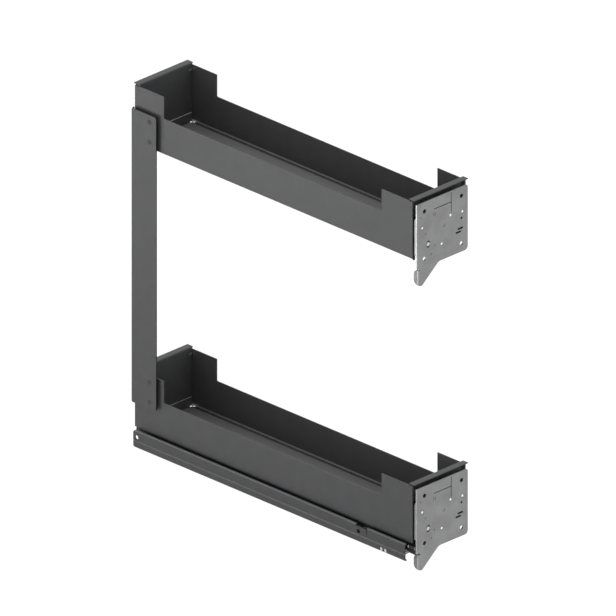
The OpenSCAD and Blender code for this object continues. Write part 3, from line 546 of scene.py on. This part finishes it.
def mat_rubber(name):
    """Pebbled rubber with a painted shadow along both long sides."""
    finish, tree, shader, place = new_finish(name)
    pebble = noise(tree, place, PEBBLE, detail=1.0)
    cloud = noise(tree, place, MAT_CLOUD, detail=3.0)
    colours = ramp(tree, cloud, low=grey(0.13), high=grey(0.144))
    tree.links.new(colours, shader.inputs["Base Color"])
    field = math_node(tree, "COMPARE", own_axis(tree, "X"), (MAT_LEFT + MAT_RIGHT) / 2,
                      (MAT_RIGHT - MAT_LEFT) / 2 - MAT_SHADOW_BORDER)
    # Painted shadow along both long sides.
    mix_in(tree, math_node(tree, "LESS_THAN", field, MOSTLY), low=0.03, high=0.04)
    tree.links.new(spread(tree, pebble, low=0.7, high=0.85), shader.inputs["Roughness"])
    shader.inputs["Specular IOR Level"].default_value = SATIN
    bump(tree, shader, pebble, strength=0.35, depth=0.0002)
    return finish


tray_mat_rubber = mat_rubber("tray_mat_rubber")
print("mats from", round(MAT_LEFT, 4), "to", round(MAT_RIGHT, 4))

# %% [markdown]
# Each piece takes the finish of the real one. The table below reads like a parts list, so
# that every piece can be found in it.

# %% Parts list
FINISHES = {
    tray_coat: ["lower_tray", "upper_tray"],
    panel_coat: ["lower_rear_panel", "lower_front_panel", "upper_rear_panel",
                 "upper_front_panel"],
    bar_coat: ["rear_bar"],
    rivet_coat: ["bar_rivets"],
    rail_coat: ["wall_rail"],
    member_shade_coat: ["drawer_member"],
    black_coat: ["lower_bracket_base", "upper_bracket_base"],
    member_zinc: ["lower_channel", "middle_member"],
    upper_plate_zinc: ["upper_front_plate"],
    lower_plate_zinc: ["lower_front_plate"],
    bright_steel: ["outer_balls", "inner_balls", "runner_rivets", "catch_pin", "catch_lever",
                   "lower_clamp_screws", "upper_clamp_screws", "lower_clamp_nuts",
                   "upper_clamp_nuts", "lower_height_cam", "upper_height_cam"],
    upper_stud_steel: ["upper_plate_studs"],
    lower_stud_steel: ["lower_plate_studs"],
    black_moulding: ["rear_buffer", "outer_ball_cage", "inner_ball_cage", "front_catch",
                     "bar_spacers"],
    tray_mat_rubber: ["lower_mat", "upper_mat"],
}
print("finishes:", len(FINISHES))

# %% [markdown]
# Dressing a piece changes its material slots alone: its mesh stays as the frame holds it. A
# piece that the parts list forgot would show as bare, so the script stops there.

# %% Dress the pieces
for finish, names in FINISHES.items():
    for name in names:
        slots = nodes[name].data.materials
        slots.clear()
        slots.append(finish)
undressed = sorted(set(nodes) - {name for names in FINISHES.values() for name in names})
assert not undressed, undressed
print("dressed", len(nodes), "pieces")

# %% [markdown]
# The studio has a white floor. It lies well below the rack, because the photograph shows no
# shadow of the rack on it. One large square grid with a matt paint is enough.

# %% Floor
FLOOR_DROP = 0.45
FLOOR_HALF = 8
FLOOR_Z = cad_box[0][2] - FLOOR_DROP

floor_mesh = bmesh.new()
bmesh.ops.create_grid(floor_mesh, x_segments=1, y_segments=1, size=FLOOR_HALF)
bmesh.ops.translate(floor_mesh, verts=floor_mesh.verts, vec=(0, 0, FLOOR_Z))
floor_data = bpy.data.meshes.new("studio_floor")
floor_mesh.to_mesh(floor_data)
floor_mesh.free()
floor = bpy.data.objects.new("studio_floor", floor_data)
bpy.context.scene.collection.objects.link(floor)
print("floor at", round(FLOOR_Z, 3))

# %% [markdown]
# The floor's paint is white with hardly visible clouds, and so rough that the rack isn't
# mirrored in it.

# %% Paint of the floor
paint, paint_tree, paint_shader, paint_place = new_finish("studio_white")
clouds = noise(paint_tree, paint_place, scale=3)
whites = ramp(paint_tree, clouds, low=grey(0.845), high=grey(0.855))
paint_tree.links.new(whites, paint_shader.inputs["Base Color"])
paint_shader.inputs["Roughness"].default_value = 0.9
floor_data.materials.append(paint)
print("floor painted with", paint.name)

# %% [markdown]
# White light comes from all round. A soft light hangs low over the floor at the left: the
# rack's left faces mirror that bright patch, more so the higher they are, as in the
# photograph. A second, weaker one brightens the floor at the right, which the front faces
# mirror.

# %% Light
AIR_STRENGTH = 1.15
LAMP_SIZE = 1.0
LEFT_LAMP, LEFT_SPOT = (-2.15, 1.45, FLOOR_Z + 0.6), (-2.15, 1.45, FLOOR_Z)
RIGHT_LAMP, RIGHT_SPOT = (2.6, 0.6, 1.6), (1.3, 1.2, FLOOR_Z)

world = bpy.data.worlds.new("studio_air")
world.use_nodes = True
air = world.node_tree.nodes["Background"]
air.inputs["Color"].default_value = (1, 1, 1, 1)
air.inputs["Strength"].default_value = AIR_STRENGTH
bpy.context.scene.world = world
bpy.context.scene.view_settings.view_transform = "Standard"


def soft_light(name, place, target, watts):
    """A square area light at a place, turned to a target."""
    data = bpy.data.lights.new(name, "AREA")
    data.shape = "SQUARE"
    data.size = LAMP_SIZE
    data.energy = watts
    lamp = bpy.data.objects.new(name, data)
    bpy.context.scene.collection.objects.link(lamp)
    lamp.location = place
    lamp.rotation_euler = (Vector(target) - Vector(place)).to_track_quat("-Z", "Y").to_euler()


soft_light("left_floor_light", LEFT_LAMP, LEFT_SPOT, watts=72)
soft_light("right_floor_light", RIGHT_LAMP, RIGHT_SPOT, watts=8)
